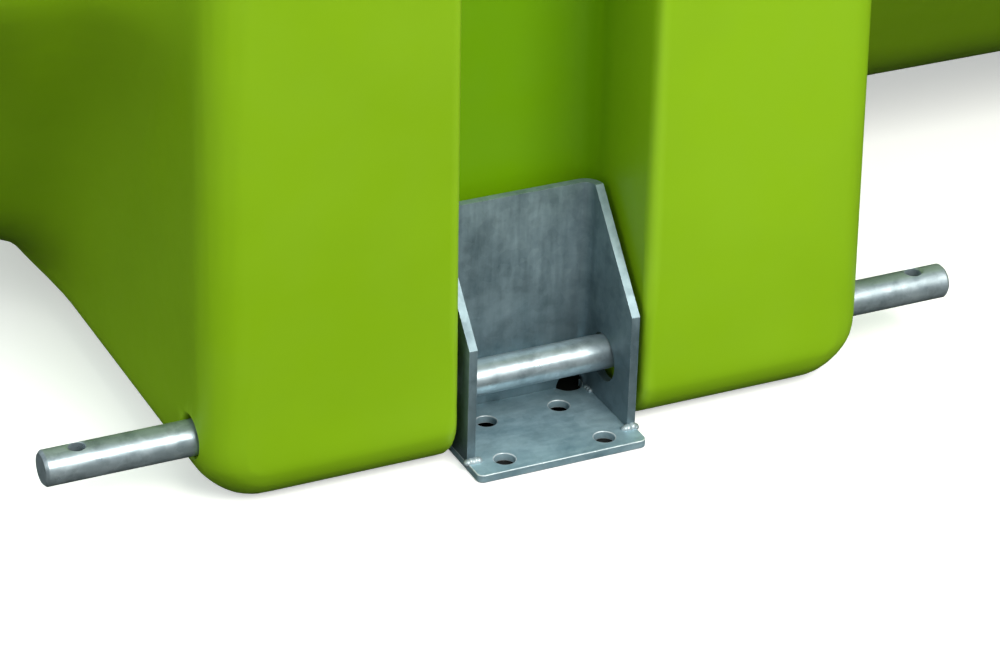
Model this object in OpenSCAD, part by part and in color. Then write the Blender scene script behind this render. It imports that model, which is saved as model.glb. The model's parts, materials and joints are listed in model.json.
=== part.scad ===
// Water-filled road barrier element: a rotationally moulded tank on two saddle
// feet. Every foot has a slot at its front and its rear. A folded steel anchor
// bracket stands in the slot, and a steel rod runs through both halves of the
// foot and through the bracket. Lugs at the ends take a vertical coupling pin.
// Origin: centre of the footprint, on the ground. X runs along the barrier.

/* [Tank] */
// Length between the two end walls
body_l = 1880; // [1700:10:2300]
// Width of the upper walls
body_w = 690; // [620:5:760]
// Height of the deck above the ground
body_h = 1000; // [860:10:1200]
// Clear height under the keel, for fork tines
floor_gap = 60; // [50:5:90]
// Width of the flat keel
keel_w = 60; // [40:5:100]
// Radius between the keel and the sloping flank
keel_r = 170; // [140:5:200]
// Slope of the flank, from level
flank_a = 54; // [50:1:58]
// Radius between the flank and the upright wall
bilge_r = 150; // [120:5:180]
// Radius of the edges round the deck
deck_r = 60; // [40:5:70]
// Radius of the upright corners of the tank
corner_r = 90; // [60:5:110]
// Radius under the end walls
end_r = 150; // [120:5:170]
// Thickness of the moulded wall
wall = 6; // [5:0.5:8]

/* [Feet] */
// Distance between the centres of the two feet
foot_span = 1000; // [960:10:1200]
// Width of a foot along the barrier
foot_w = 500; // [460:5:560]
// Depth of a foot across the barrier
foot_d = 830; // [780:5:900]
// Height of the upright face of a foot
shoulder_z = 540; // [480:10:600]
// Radius of the shoulder above that face
shoulder_r = 60; // [40:5:80]
// Slope of the shoulder, from upright
shoulder_a = 50; // [45:1:55]
// Radius of the corners and of the bottom edges
foot_r = 32; // [24:1:40]
// Mould draft of the upright faces
draft = 0.9; // [0.5:0.1:1.5]
// Width of a slot at the ground
slot_w = 140; // [136:1:160]
// Depth of a slot, from the face of the foot
slot_depth = 100; // [96:1:110]
// Radius of the inner corners of a slot
slot_r = 22; // [14:1:30]
// Mould draft of a slot's side walls
slot_draft = 0.2; // [0:0.1:1]

/* [Anchor rod] */
// Diameter of the rod
rod_d = 25; // [20:1:30]
// Length of the rod
rod_l = 685; // [660:5:760]
// Height of the rod's axis above the ground
rod_z = 46.3; // [44:0.1:52]
// Distance from the face of the foot to the rod's axis
rod_inset = 40; // [36:1:44]
// How far the rod lies off the middle of its foot
rod_offset = -10; // [-20:1:20]
// Chamfer of the rod's ends
rod_chamfer = 2; // [1:0.5:3]
// Cross hole for a retaining clip
clip_hole_d = 11.5; // [8:0.5:13]
// Distance from the rod's end to that hole
clip_hole_inset = 25; // [20:1:35]
// Free space round the rod in the moulded bore
rod_clear = 1.5; // [1:0.1:2.5]

/* [Anchor bracket] */
// Thickness of the steel plate
plate_t = 6; // [5:0.5:8]
// Width of the bracket
bracket_w = 128; // [120:1:132]
// Height of the bracket's back
bracket_h = 165; // [150:1:200]
// Height of the upright front edge of a cheek
cheek_h = 92; // [84:1:110]
// Outer radius of the folds
bend_r = 13; // [10:1:16]
// Distance from the rod's axis to the back of the bracket
bracket_back = 35; // [32:1:40]
// How far the base plate stands out in front of the cheeks
base_lip = 20; // [14:1:30]
// Radius of the base plate's corners
base_r = 5; // [2:0.5:8]
// Hole in a cheek for the rod
cheek_hole_d = 35; // [34:1:40]
// Holes for the ground anchors
anchor_hole_d = 15; // [12:1:18]
// Spacing of the front pair of anchor holes
front_pair = 76; // [66:1:84]
// Distance of the front pair from the base plate's front edge
front_inset = 15; // [12:1:20]
// Spacing of the rear pair of anchor holes
rear_pair = 56; // [50:1:64]
// Distance between the two pairs
pair_gap = 51; // [44:1:56]
// Radius of a drain notch where the back meets the base plate
notch_r = 10.5; // [6:0.5:12]
// Size of the weld beads
weld_r = 5; // [3:0.5:6]

/* [Coupling] */
// Distance from the end wall to the pin's axis
coupling_reach = 60; // [56:1:80]
// Diameter of the coupling pin
pin_d = 30; // [24:1:34]
// Radius of the lugs
lug_r = 45; // [40:1:50]
// Height of a lug
lug_h = 88; // [70:1:88]
// Bottom of the lowest lug
lug_z = 302; // [290:1:320]
// Distance from a lug to the next lug on the same end
lug_pitch = 340; // [320:5:360]
// Distance between a lug and the neighbour's lug above it
lug_step = 94; // [90:1:100]
// Free space round the pin
pin_clear = 0.5; // [0.4:0.1:1]

/* [Filler and vent] */
// Radius of the well in the deck
well_r = 130; // [115:1:150]
// Depth of that well
well_depth = 48; // [44:1:60]
// Bore radius of the filler neck
neck_r = 75; // [60:1:78]
// Wall of the filler neck
neck_t = 7; // [5:0.5:9]
// Height of the neck above the floor of the well
neck_h = 26; // [20:1:30]
// Free space between the neck and the cap
cap_clear = 0.6; // [0.4:0.1:1]
// Thickness of the cap's skirt
skirt_t = 9; // [6:1:12]
// Number of grips round the cap
grips = 12; // [8:1:20]
// Distance from the filler to the vent
vent_x = 230; // [200:5:300]
// Radius of the vent hole
vent_r = 14; // [10:1:18]

/* [Fence sockets] */
// Distance from the middle to a fence socket
socket_x = 720; // [600:10:760]
// Radius of a fence socket
socket_r = 31; // [24:0.5:36]
// Depth of a fence socket
socket_depth = 150; // [100:5:200]

/* [Drains] */
// Distance of the drains from the middle plane
drain_y = 240; // [220:5:280]
// Height of the drains
drain_z = 84; // [80:1:100]
// Radius of the well round a drain
drain_well_r = 40; // [36:1:46]
// Depth of that well
drain_depth = 24; // [20:1:30]
// Bore radius of the drain bush
drain_r = 17; // [12:1:18]

/* [Reflectors] */
// Length of a reflector
reflector_l = 260; // [200:10:320]
// Height of a reflector
reflector_w = 56; // [40:1:80]
// Thickness of a reflector
reflector_t = 3; // [2:0.5:4]
// Distance from the middle to a reflector
reflector_x = 500; // [400:10:600]
// Height of the reflectors
reflector_z = 790; // [740:5:840]
// Radius of a rivet's shank
rivet_r = 2.4; // [2:0.1:3]

/* [Hidden] */
$fn = 64;
SIDES = [-1, 1];

GREEN = "#82ae1f";
ZINC = "#7d8f96";
BLACK = "#202224";
RUBBER = "#1a1a1a";
AMBER = "#e88a1a";

// The flank is tangent to the keel radius below and to the bilge radius above.
flank_y0 = keel_w / 2 + keel_r * sin(flank_a);
flank_z0 = floor_gap + keel_r * (1 - cos(flank_a));
flank_y1 = body_w / 2 - bilge_r * (1 - sin(flank_a));
flank_z1 = flank_z0 + (flank_y1 - flank_y0) * tan(flank_a);
bilge_z = flank_z1 + bilge_r * cos(flank_a);

// The shoulder of a foot runs on until it is inside the tank's wall.
foot_sink = 25;
shoulder_y = foot_d / 2 - shoulder_z * tan(draft) - shoulder_r;
shoulder_run = shoulder_y + shoulder_r * cos(shoulder_a) - (body_w / 2 - foot_sink);
foot_top = shoulder_z + shoulder_r * sin(shoulder_a) + shoulder_run / tan(shoulder_a);

// The rod rests in the bottom of its bores, and at the top of the cheek holes.
touch = 0.3;
rod_r = rod_d / 2;
bore_r = rod_r + rod_clear;
bore_z = rod_z + rod_clear - touch;
cheek_hole_z = rod_z + rod_r + touch - cheek_hole_d / 2;
rod_y = foot_d / 2 - rod_inset;
inner_w = bracket_w - 2 * plate_t;
notch_x = inner_w / 2 - notch_r;
tack_l = 6;

pin_x = body_l / 2 + coupling_reach;
pin_r = pin_d / 2;
pin_foot = 12;
pin_head = 60;
collar_t = 8;
collar_extra = 8;
lug_top = lug_z + lug_step + lug_pitch + lug_h;
handle_r = 7;
handle_l = 150;

well_z = body_h - well_depth;
neck_outer = neck_r + neck_t;
flange_t = 5;
flange_extra = 12;
neck_tail = 6;
rim_z = well_z + flange_t + neck_h;
gasket_t = 3;
gasket_step = 1;
cap_top_t = 7;
cap_grip_w = 90;
grip_r = 5;

vent_well_r = 32;
vent_depth = 14;
vent_z = body_h - vent_depth;
grommet_t = 2.5;
vent_head_t = 3;

bush_t = 5;
bush_flange_t = 3;
bush_flange_extra = 7;
bush_tail = 8;
seal_t = 2.5;
drain_head_t = 3;
drain_head_extra = 4;
drain_grip_t = 8;
drain_grip_h = 9;
drain_x = foot_w / 2 - drain_depth;

pocket_depth = reflector_t - 0.5;
pocket_clear = 1;
rivet_inset = 20;
rivet_pitch = reflector_l - 2 * rivet_inset;
rivet_head_t = 1.5;

// Points along an arc about (u, v), from angle a0 to angle a1.
function arc(u, v, r, a0, a1, steps = 8) =
    [for (i = [0:steps]) let (a = a0 + (a1 - a0) * i / steps) [u + r * cos(a), v + r * sin(a)]];

// A half outline on the positive side, closed by its mirror image.
function both_sides(half) =
    concat(half, [for (i = [len(half) - 1:-1:0]) [-half[i][0], half[i][1]]]);

// Outline of the tank across the barrier, with its surface moved in by g.
function tank_section(g) = both_sides(concat(
    arc(keel_w / 2, floor_gap + keel_r, keel_r - g, 270, 270 + flank_a),
    arc(body_w / 2 - bilge_r, bilge_z, bilge_r - g, 270 + flank_a, 360),
    arc(body_w / 2 - deck_r, body_h - deck_r, deck_r - g, 0, 90)));

// Outline of the tank along the barrier.
function tank_side(g) = both_sides(concat(
    arc(body_l / 2 - end_r, floor_gap + end_r, end_r - g, 270, 360),
    arc(body_l / 2 - deck_r, body_h - deck_r, deck_r - g, 0, 90)));

// Outline of a foot across the barrier: rounded sole, drafted face, shoulder.
function foot_section(g) = let (
        shoulder = arc(shoulder_y, shoulder_z, shoulder_r - g, 0, shoulder_a),
        last = shoulder[len(shoulder) - 1])
    both_sides(concat(
        arc(foot_d / 2 - foot_r, foot_r, foot_r - g, 270, 360),
        shoulder,
        [[last[0] - (foot_top - last[1]) * tan(shoulder_a), foot_top]]));

// Outline of a foot along the barrier.
function foot_front(g) = both_sides(concat(
    arc(foot_w / 2 - foot_r, foot_r, foot_r - g, 270, 360),
    [[foot_w / 2 - g - foot_top * tan(draft), foot_top]]));

module rounded_rect(l, w, r) {
    square([l - 2 * r, w], center = true);
    square([l, w - 2 * r], center = true);
    for (sx = SIDES, sy = SIDES)
        translate([sx * (l / 2 - r), sy * (w / 2 - r)]) circle(r);
}

module along_x(l) { rotate([90, 0, 90]) linear_extrude(l, center = true) children(); }

module along_y(l) { rotate([90, 0, 0]) linear_extrude(l, center = true) children(); }

module rod_bar(r, l) { rotate([0, 90, 0]) cylinder(h = l, r = r, center = true); }

// The tank as a solid, its surface moved in by g.
module tank_form(g) {
    intersection() {
        along_x(body_l) polygon(tank_section(g));
        along_y(body_w) polygon(tank_side(g));
        linear_extrude(body_h) rounded_rect(body_l - 2 * g, body_w - 2 * g, corner_r - g);
    }
}

// The space of one slot in front of a foot, its surface moved out by g.
module slot_form(g) {
    spread = foot_top * tan(slot_draft);
    intersection() {
        translate([0, -foot_d / 2, 0]) linear_extrude(foot_top)
            rounded_rect(slot_w + 2 * (spread + g), 2 * (slot_depth + g), slot_r + g);
        along_y(2 * foot_d) polygon(both_sides([
            [slot_w / 2 + g, 0],
            [slot_w / 2 + g + spread, foot_top]]));
    }
}

// One foot as a solid at the middle of the barrier, its surface moved in by g.
module foot_form(g) {
    difference() {
        intersection() {
            along_x(foot_w) polygon(foot_section(g));
            along_y(foot_d) polygon(foot_front(g));
            linear_extrude(foot_top) rounded_rect(foot_w - 2 * g, foot_d - 2 * g, foot_r - g);
        }
        for (turn = [0, 180]) rotate([0, 0, turn]) slot_form(g);
    }
}

module at_feet() { for (sx = SIDES) translate([sx * foot_span / 2, 0, 0]) children(); }

// One anchor place: its origin is on the ground under the rod's axis, -Y out.
module at_anchor(sx, sy) {
    translate([sx * foot_span / 2, sy * rod_y, 0]) rotate([0, 0, sy > 0 ? 180 : 0]) children();
}

module at_all_anchors() { for (sx = SIDES, sy = SIDES) at_anchor(sx, sy) children(); }

// A drain's own frame: origin on the floor of its well, +Z out of the foot.
module at_drain(sx) {
    translate([sx * (foot_span / 2 - drain_x), -drain_y, drain_z]) rotate([0, -sx * 90, 0]) children();
}

module at_filler() { translate([0, 0, well_z]) children(); }

module at_vent() { translate([vent_x, 0, vent_z]) children(); }

module at_sockets() { for (sx = SIDES) translate([sx * socket_x, 0, 0]) children(); }

module at_reflector(sx, sy) {
    translate([sx * reflector_x, sy * body_w / 2, reflector_z]) rotate([0, 0, sy > 0 ? 180 : 0]) children();
}

// Lugs of one end; the right end's lugs sit one step higher than the left's.
module lugs(sx) {
    for (i = [0, 1]) translate([0, 0, lug_z + i * lug_pitch + (sx > 0 ? lug_step : 0)]) {
        translate([sx * pin_x, 0, 0]) cylinder(h = lug_h, r = lug_r);
        translate([sx > 0 ? body_l / 2 - wall / 2 : -pin_x, -lug_r, 0])
            cube([coupling_reach + wall / 2, 2 * lug_r, lug_h]);
    }
}

// Tubes moulded through the two halves of a foot, from wall to wall.
module rod_sleeves() {
    inner = slot_w / 2 + wall / 2;
    outer = foot_w / 2 - wall / 2;
    for (s = SIDES) translate([s * (inner + outer) / 2, 0, bore_z])
        rod_bar(bore_r + wall, outer - inner);
}

module body_shell() {
    color(GREEN) difference() {
        union() {
            difference() {
                union() {
                    tank_form(0);
                    at_feet() foot_form(0);
                    for (sx = SIDES) lugs(sx);
                }
                tank_form(wall);
                at_feet() foot_form(wall);
            }
            at_all_anchors() rod_sleeves();
            at_filler() translate([0, 0, -wall]) cylinder(h = well_depth, r = well_r + wall);
            at_vent() translate([0, 0, -wall]) cylinder(h = vent_depth, r = vent_well_r + wall);
            at_sockets() translate([0, 0, body_h - socket_depth - wall])
                cylinder(h = socket_depth, r = socket_r + wall);
            for (sx = SIDES) at_drain(sx) translate([0, 0, -wall])
                cylinder(h = drain_depth, r = drain_well_r + wall);
        }
        at_all_anchors() translate([0, 0, bore_z]) rod_bar(bore_r, foot_w);
        at_filler() {
            cylinder(h = 2 * well_depth, r = well_r);
            cylinder(h = 4 * wall, r = neck_outer, center = true);
        }
        at_vent() {
            cylinder(h = 2 * vent_depth, r = vent_well_r);
            cylinder(h = 4 * wall, r = vent_r, center = true);
        }
        at_sockets() translate([0, 0, body_h - socket_depth]) cylinder(h = 2 * socket_depth, r = socket_r);
        for (sx = SIDES) {
            at_drain(sx) cylinder(h = 2 * drain_depth, r = drain_well_r);
            at_drain(sx) cylinder(h = 4 * wall, r = drain_r + bush_t, center = true);
            translate([sx * pin_x, 0, 0]) cylinder(h = body_h, r = pin_r + pin_clear);
        }
        for (sx = SIDES, sy = SIDES) at_reflector(sx, sy) {
            cube([reflector_l + 2 * pocket_clear, 2 * pocket_depth, reflector_w + 2 * pocket_clear],
                center = true);
            for (s = SIDES) translate([s * rivet_pitch / 2, 0, 0])
                rotate([90, 0, 0]) cylinder(h = 4 * wall, r = rivet_r, center = true);
        }
    }
}

module fill_neck() {
    color(BLACK) at_filler() difference() {
        union() {
            translate([0, 0, -wall - neck_tail])
                cylinder(h = wall + neck_tail + flange_t + neck_h, r = neck_outer);
            cylinder(h = flange_t, r = neck_outer + flange_extra);
        }
        cylinder(h = 4 * neck_h, r = neck_r, center = true);
    }
}

module fill_gasket() {
    color(RUBBER) translate([0, 0, rim_z]) difference() {
        cylinder(h = gasket_t, r = neck_outer);
        cylinder(h = 3 * gasket_t, r = neck_r + gasket_step, center = true);
    }
}

module fill_cap() {
    skirt_r = neck_outer + cap_clear + skirt_t;
    skirt_h = neck_h + gasket_t - gasket_step;
    color(BLACK) translate([0, 0, rim_z + gasket_t]) difference() {
        union() {
            translate([0, 0, -skirt_h]) cylinder(h = skirt_h + cap_top_t, r = skirt_r);
            for (i = [0:grips - 1]) rotate([0, 0, i * 360 / grips])
                translate([skirt_r, 0, -skirt_h]) cylinder(h = skirt_h + cap_top_t, r = grip_r);
        }
        translate([0, 0, -2 * skirt_h]) cylinder(h = 2 * skirt_h, r = neck_outer + cap_clear);
        for (s = SIDES) translate([s * neck_r / 2, 0, cap_top_t])
            cube([neck_r - 2 * skirt_t, cap_grip_w, cap_top_t], center = true);
    }
}

module vent_grommet() {
    color(RUBBER) at_vent() difference() {
        union() {
            translate([0, 0, -wall - grommet_t])
                cylinder(h = wall + 2 * grommet_t, r = vent_r);
            cylinder(h = grommet_t, r = vent_r + 2 * grommet_t);
        }
        cylinder(h = 6 * wall, r = vent_r - grommet_t, center = true);
    }
}

module vent_plug() {
    stem_r = vent_r - grommet_t - touch;
    color(BLACK) at_vent() translate([0, 0, grommet_t]) {
        translate([0, 0, -2 * wall]) cylinder(h = 2 * wall, r = stem_r);
        cylinder(h = vent_head_t, r = vent_r + 3 * grommet_t);
        translate([0, 0, vent_head_t]) cylinder(h = vent_depth / 2, r = stem_r);
    }
}

module drain_bush(sx) {
    color("#b89b5e") at_drain(sx) difference() {
        union() {
            translate([0, 0, -wall - bush_tail])
                cylinder(h = wall + bush_tail + bush_flange_t, r = drain_r + bush_t);
            cylinder(h = bush_flange_t, r = drain_r + bush_t + bush_flange_extra);
        }
        cylinder(h = 6 * bush_tail, r = drain_r, center = true);
    }
}

module drain_seal(sx) {
    color(RUBBER) at_drain(sx) translate([0, 0, bush_flange_t]) difference() {
        cylinder(h = seal_t, r = drain_r + bush_t);
        cylinder(h = 3 * seal_t, r = drain_r + touch, center = true);
    }
}

module drain_plug(sx) {
    color(BLACK) at_drain(sx) translate([0, 0, bush_flange_t + seal_t]) {
        translate([0, 0, -wall - seal_t]) cylinder(h = wall + seal_t, r = drain_r - touch);
        cylinder(h = drain_head_t, r = drain_r + bush_t + drain_head_extra);
        translate([0, 0, drain_head_t + drain_grip_h / 2])
            cube([2 * drain_r, drain_grip_t, drain_grip_h], center = true);
        translate([0, 0, drain_head_t]) cylinder(h = drain_grip_h / 2, r = drain_grip_t);
    }
}

// Base plate: four anchor holes, in a front and a rear pair.
module anchor_base() {
    front = rod_inset + base_lip;
    depth = front + bracket_back;
    color(ZINC) difference() {
        translate([0, depth / 2 - front, 0]) linear_extrude(plate_t)
            rounded_rect(bracket_w, depth, base_r);
        for (s = SIDES) {
            translate([s * front_pair / 2, front_inset - front, 0])
                cylinder(h = 4 * plate_t, r = anchor_hole_d / 2, center = true);
            translate([s * rear_pair / 2, front_inset + pair_gap - front, 0])
                cylinder(h = 4 * plate_t, r = anchor_hole_d / 2, center = true);
            translate([s * notch_x, bracket_back - plate_t / 2, 0])
                cylinder(h = 4 * plate_t, r = notch_r, center = true);
        }
    }
}

// One sheet folded to a channel; its cheeks slope up from their front edges.
module anchor_channel() {
    back_in = bracket_back - plate_t;
    slope_back = bracket_back - bend_r;
    color(ZINC) difference() {
        intersection() {
            translate([0, 0, plate_t]) linear_extrude(bracket_h - plate_t) difference() {
                union() {
                    translate([-bracket_w / 2, -rod_inset])
                        square([bracket_w, rod_inset + bracket_back - bend_r]);
                    translate([bend_r - bracket_w / 2, 0])
                        square([bracket_w - 2 * bend_r, bracket_back]);
                    for (s = SIDES) translate([s * (bracket_w / 2 - bend_r), bracket_back - bend_r])
                        circle(bend_r);
                }
                translate([-inner_w / 2, -2 * rod_inset])
                    square([inner_w, 2 * rod_inset + bracket_back - bend_r]);
                translate([bend_r - bracket_w / 2, -2 * rod_inset])
                    square([bracket_w - 2 * bend_r, 2 * rod_inset + back_in]);
                for (s = SIDES) translate([s * (bracket_w / 2 - bend_r), bracket_back - bend_r])
                    circle(bend_r - plate_t);
            }
            along_x(2 * bracket_w) polygon([
                [-rod_inset, 0], [bracket_back, 0], [bracket_back, bracket_h],
                [slope_back, bracket_h], [-rod_inset, cheek_h]]);
        }
        translate([0, 0, cheek_hole_z]) rod_bar(cheek_hole_d / 2, 2 * bracket_w);
        for (s = SIDES) translate([s * notch_x, bracket_back - plate_t / 2, plate_t])
            rotate([90, 0, 0]) cylinder(h = 2 * plate_t, r = notch_r, center = true);
    }
}

// A quarter-round bead of length l along X, in the corner of y = 0 and z = 0.
module bead(l, r) {
    intersection() {
        rod_bar(r, l);
        translate([-l / 2, -r, 0]) cube([l, r, r]);
    }
}

module anchor_welds() {
    color("#a9b6bb") for (s = SIDES) {
        translate([s * (bracket_w / 2 - plate_t / 2), -rod_inset, plate_t]) bead(plate_t, weld_r);
        translate([s * inner_w / 2, bracket_back - notch_r - tack_l, plate_t])
            rotate([0, 0, -s * 90]) bead(tack_l, weld_r / 2);
    }
}

// The rod: chamfered ends and a cross hole near each end.
module anchor_rod() {
    color("#93a3aa") translate([rod_offset, 0, rod_z]) difference() {
        union() {
            rod_bar(rod_r, rod_l - 2 * rod_chamfer);
            for (s = SIDES) translate([s * (rod_l / 2 - rod_chamfer), 0, 0]) rotate([0, s * 90, 0])
                cylinder(h = rod_chamfer, r1 = rod_r, r2 = rod_r - rod_chamfer);
        }
        for (s = SIDES) translate([s * (rod_l / 2 - clip_hole_inset), 0, 0])
            cylinder(h = 2 * rod_d, r = clip_hole_d / 2, center = true);
    }
}

module coupling_pin() {
    shaft_z = lug_z + lug_step - pin_foot;
    color(ZINC) translate([pin_x, 0, 0]) difference() {
        union() {
            translate([0, 0, shaft_z]) cylinder(h = lug_top + pin_head - shaft_z, r = pin_r);
            translate([0, 0, lug_top]) cylinder(h = collar_t, r = pin_r + collar_extra);
        }
        translate([0, 0, lug_top + pin_head / 2 + collar_t]) rotate([90, 0, 0])
            cylinder(h = 4 * pin_r, r = handle_r, center = true);
    }
}

module coupling_handle() {
    color(ZINC) translate([pin_x, 0, lug_top + pin_head / 2 + collar_t]) rotate([90, 0, 0])
        cylinder(h = handle_l, r = handle_r, center = true);
}

module reflector(sx, sy) {
    color(AMBER) at_reflector(sx, sy) difference() {
        translate([0, pocket_depth - reflector_t / 2, 0])
            cube([reflector_l, reflector_t, reflector_w], center = true);
        for (s = SIDES) translate([s * rivet_pitch / 2, 0, 0])
            rotate([90, 0, 0]) cylinder(h = 4 * reflector_t, r = rivet_r, center = true);
    }
}

module reflector_rivets() {
    face = pocket_depth - reflector_t;
    color("#c8ccd0") for (sx = SIDES, sy = SIDES) at_reflector(sx, sy) for (s = SIDES)
        translate([s * rivet_pitch / 2, face, 0]) rotate([-90, 0, 0]) {
            cylinder(h = reflector_t + wall, r = rivet_r);
            translate([0, 0, -rivet_head_t]) cylinder(h = rivet_head_t, r = 2 * rivet_r);
        }
}

body_shell();
fill_neck();
fill_gasket();
fill_cap();
vent_grommet();
vent_plug();
drain_bush(-1);  // drain_bush_left
drain_seal(-1);  // drain_seal_left
drain_plug(-1);  // drain_plug_left
drain_bush(1);  // drain_bush_right
drain_seal(1);  // drain_seal_right
drain_plug(1);  // drain_plug_right
at_anchor(-1, -1) anchor_base();  // anchor_base_front_left
at_anchor(-1, -1) anchor_channel();  // anchor_channel_front_left
at_anchor(-1, -1) anchor_welds();  // anchor_welds_front_left
at_anchor(-1, -1) anchor_rod();  // anchor_rod_front_left
at_anchor(1, -1) anchor_base();  // anchor_base_front_right
at_anchor(1, -1) anchor_channel();  // anchor_channel_front_right
at_anchor(1, -1) anchor_welds();  // anchor_welds_front_right
at_anchor(1, -1) anchor_rod();  // anchor_rod_front_right
at_anchor(-1, 1) anchor_base();  // anchor_base_rear_left
at_anchor(-1, 1) anchor_channel();  // anchor_channel_rear_left
at_anchor(-1, 1) anchor_welds();  // anchor_welds_rear_left
at_anchor(-1, 1) anchor_rod();  // anchor_rod_rear_left
at_anchor(1, 1) anchor_base();  // anchor_base_rear_right
at_anchor(1, 1) anchor_channel();  // anchor_channel_rear_right
at_anchor(1, 1) anchor_welds();  // anchor_welds_rear_right
at_anchor(1, 1) anchor_rod();  // anchor_rod_rear_right
coupling_pin();
coupling_handle();
reflector(-1, -1);  // reflector_front_left
reflector(1, -1);  // reflector_front_right
reflector(-1, 1);  // reflector_rear_left
reflector(1, 1);  // reflector_rear_right
reflector_rivets();
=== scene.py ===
import json
import logging
import math
from dataclasses import dataclass, field
from enum import Enum
from typing import Callable, Iterable, Sequence

import bmesh
import bpy
import numpy as np
from mathutils import Matrix, Vector

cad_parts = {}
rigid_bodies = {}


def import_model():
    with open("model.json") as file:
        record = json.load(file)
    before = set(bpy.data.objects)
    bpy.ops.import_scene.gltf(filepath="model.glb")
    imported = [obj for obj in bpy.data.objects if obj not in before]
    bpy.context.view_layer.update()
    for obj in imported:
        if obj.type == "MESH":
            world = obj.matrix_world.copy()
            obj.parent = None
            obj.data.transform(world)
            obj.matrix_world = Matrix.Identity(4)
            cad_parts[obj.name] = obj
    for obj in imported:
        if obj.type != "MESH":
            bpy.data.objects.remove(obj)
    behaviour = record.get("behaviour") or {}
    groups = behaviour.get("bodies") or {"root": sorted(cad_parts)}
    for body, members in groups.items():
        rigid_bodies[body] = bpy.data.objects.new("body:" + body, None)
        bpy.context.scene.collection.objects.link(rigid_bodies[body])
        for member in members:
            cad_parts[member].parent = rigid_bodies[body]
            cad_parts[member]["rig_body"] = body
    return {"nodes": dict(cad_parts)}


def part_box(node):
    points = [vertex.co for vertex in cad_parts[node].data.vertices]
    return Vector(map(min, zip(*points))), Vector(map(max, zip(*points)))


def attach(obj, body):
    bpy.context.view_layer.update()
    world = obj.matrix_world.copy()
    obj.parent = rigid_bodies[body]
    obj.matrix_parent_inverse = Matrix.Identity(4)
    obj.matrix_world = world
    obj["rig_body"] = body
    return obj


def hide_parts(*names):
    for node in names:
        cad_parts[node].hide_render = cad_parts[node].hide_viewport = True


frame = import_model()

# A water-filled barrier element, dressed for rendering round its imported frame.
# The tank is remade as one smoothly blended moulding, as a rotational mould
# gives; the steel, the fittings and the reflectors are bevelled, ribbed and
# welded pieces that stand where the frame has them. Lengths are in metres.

LOG = logging.getLogger("barrier")
MM = 0.001
# What a 6 mm sheet's rim keeps between its two roundings.
RIM_WIDTH = (3.4 * MM, 4.4 * MM)
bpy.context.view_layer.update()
Point = tuple[float, float, float]
Profile = Sequence[tuple[float, float]]


class Side(Enum):
    """One end of the barrier, as the sign of its X."""

    LEFT = -1
    RIGHT = 1


class Face(Enum):
    """One long side of the barrier, as the sign of its Y."""

    FRONT = -1
    REAR = 1


CORNERS = tuple((face, side) for face in Face for side in Side)


def corner_name(stem: str, face: Face, side: Side) -> str:
    """Gives the frame's name for the piece of a kind at one corner."""
    return f"{stem}_{face.name.lower()}_{side.name.lower()}"


# ---------------------------------------------------------------- materials


def linear(code: str, alpha: float = 1.0) -> tuple[float, float, float, float]:
    """Turns an sRGB hex colour into the linear colour that the shader takes.

    Args:
        code: the colour as #rrggbb.
        alpha: the fourth value.

    Returns:
        Red, green, blue and alpha, all from 0 to 1.
    """
    parts = [int(code[i : i + 2], 16) / 255 for i in (1, 3, 5)]
    r, g, b = (p / 12.92 if p <= 0.04045 else ((p + 0.055) / 1.055) ** 2.4 for p in parts)
    return r, g, b, alpha


def add(tree: bpy.types.NodeTree, kind: str, settings: dict | None = None,
        links: dict | None = None, **values) -> bpy.types.Node:
    """Adds one node with its settings, input values and links.

    Args:
        tree: the shader or geometry tree.
        kind: the node's type name.
        settings: attributes of the node itself.
        links: input name or number to the output socket that feeds it.
        **values: input names, with _ for a space, to constant values.

    Returns:
        The new node.
    """
    node = tree.nodes.new(kind)
    for key, value in (settings or {}).items():
        setattr(node, key, value)
    for key, value in values.items():
        node.inputs[key.replace("_", " ")].default_value = value
    for key, socket in (links or {}).items():
        tree.links.new(socket, node.inputs[key])
    return node


def new_material(name: str) -> tuple[bpy.types.Material, bpy.types.NodeTree, bpy.types.Node, bpy.types.Node]:
    """Makes a material with a Principled shader and object coordinates.

    Args:
        name: the material's name.

    Returns:
        The material, its tree, the shader and the coordinate node.
    """
    material = bpy.data.materials.new(name)
    material.use_nodes = True
    tree = material.node_tree
    tree.nodes.clear()
    shader = add(tree, "ShaderNodeBsdfPrincipled")
    add(tree, "ShaderNodeOutputMaterial", links={"Surface": shader.outputs["BSDF"]})
    return material, tree, shader, add(tree, "ShaderNodeTexCoord")


def noise(tree: bpy.types.NodeTree, coords: bpy.types.Node, size_mm: float, detail: float = 2.0,
          rough: float = 0.5, stretch: Point = (1.0, 1.0, 1.0)) -> bpy.types.NodeSocket:
    """Adds noise whose blotches are about size_mm across.

    Args:
        tree: the shader tree.
        coords: the coordinate node.
        size_mm: size of a blotch.
        detail: octaves of finer detail.
        rough: strength of the finer detail.
        stretch: how much finer the noise is along each axis.

    Returns:
        The noise's value, about 0.5 on average.
    """
    mapping = add(tree, "ShaderNodeMapping", links={"Vector": coords.outputs["Object"]}, Scale=stretch)
    node = add(tree, "ShaderNodeTexNoise", links={"Vector": mapping.outputs["Vector"]},
               Scale=1000 / size_mm, Detail=detail, Roughness=rough)
    return node.outputs["Fac"]


def spread(tree: bpy.types.NodeTree, value: bpy.types.NodeSocket, low: float, high: float,
           start: float = 0.3, end: float = 0.7) -> bpy.types.NodeSocket:
    """Maps a value that runs from start to end onto low to high."""
    node = add(tree, "ShaderNodeMapRange", links={"Value": value},
               **{"From_Min": start, "From_Max": end, "To_Min": low, "To_Max": high})
    return node.outputs["Result"]


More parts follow.
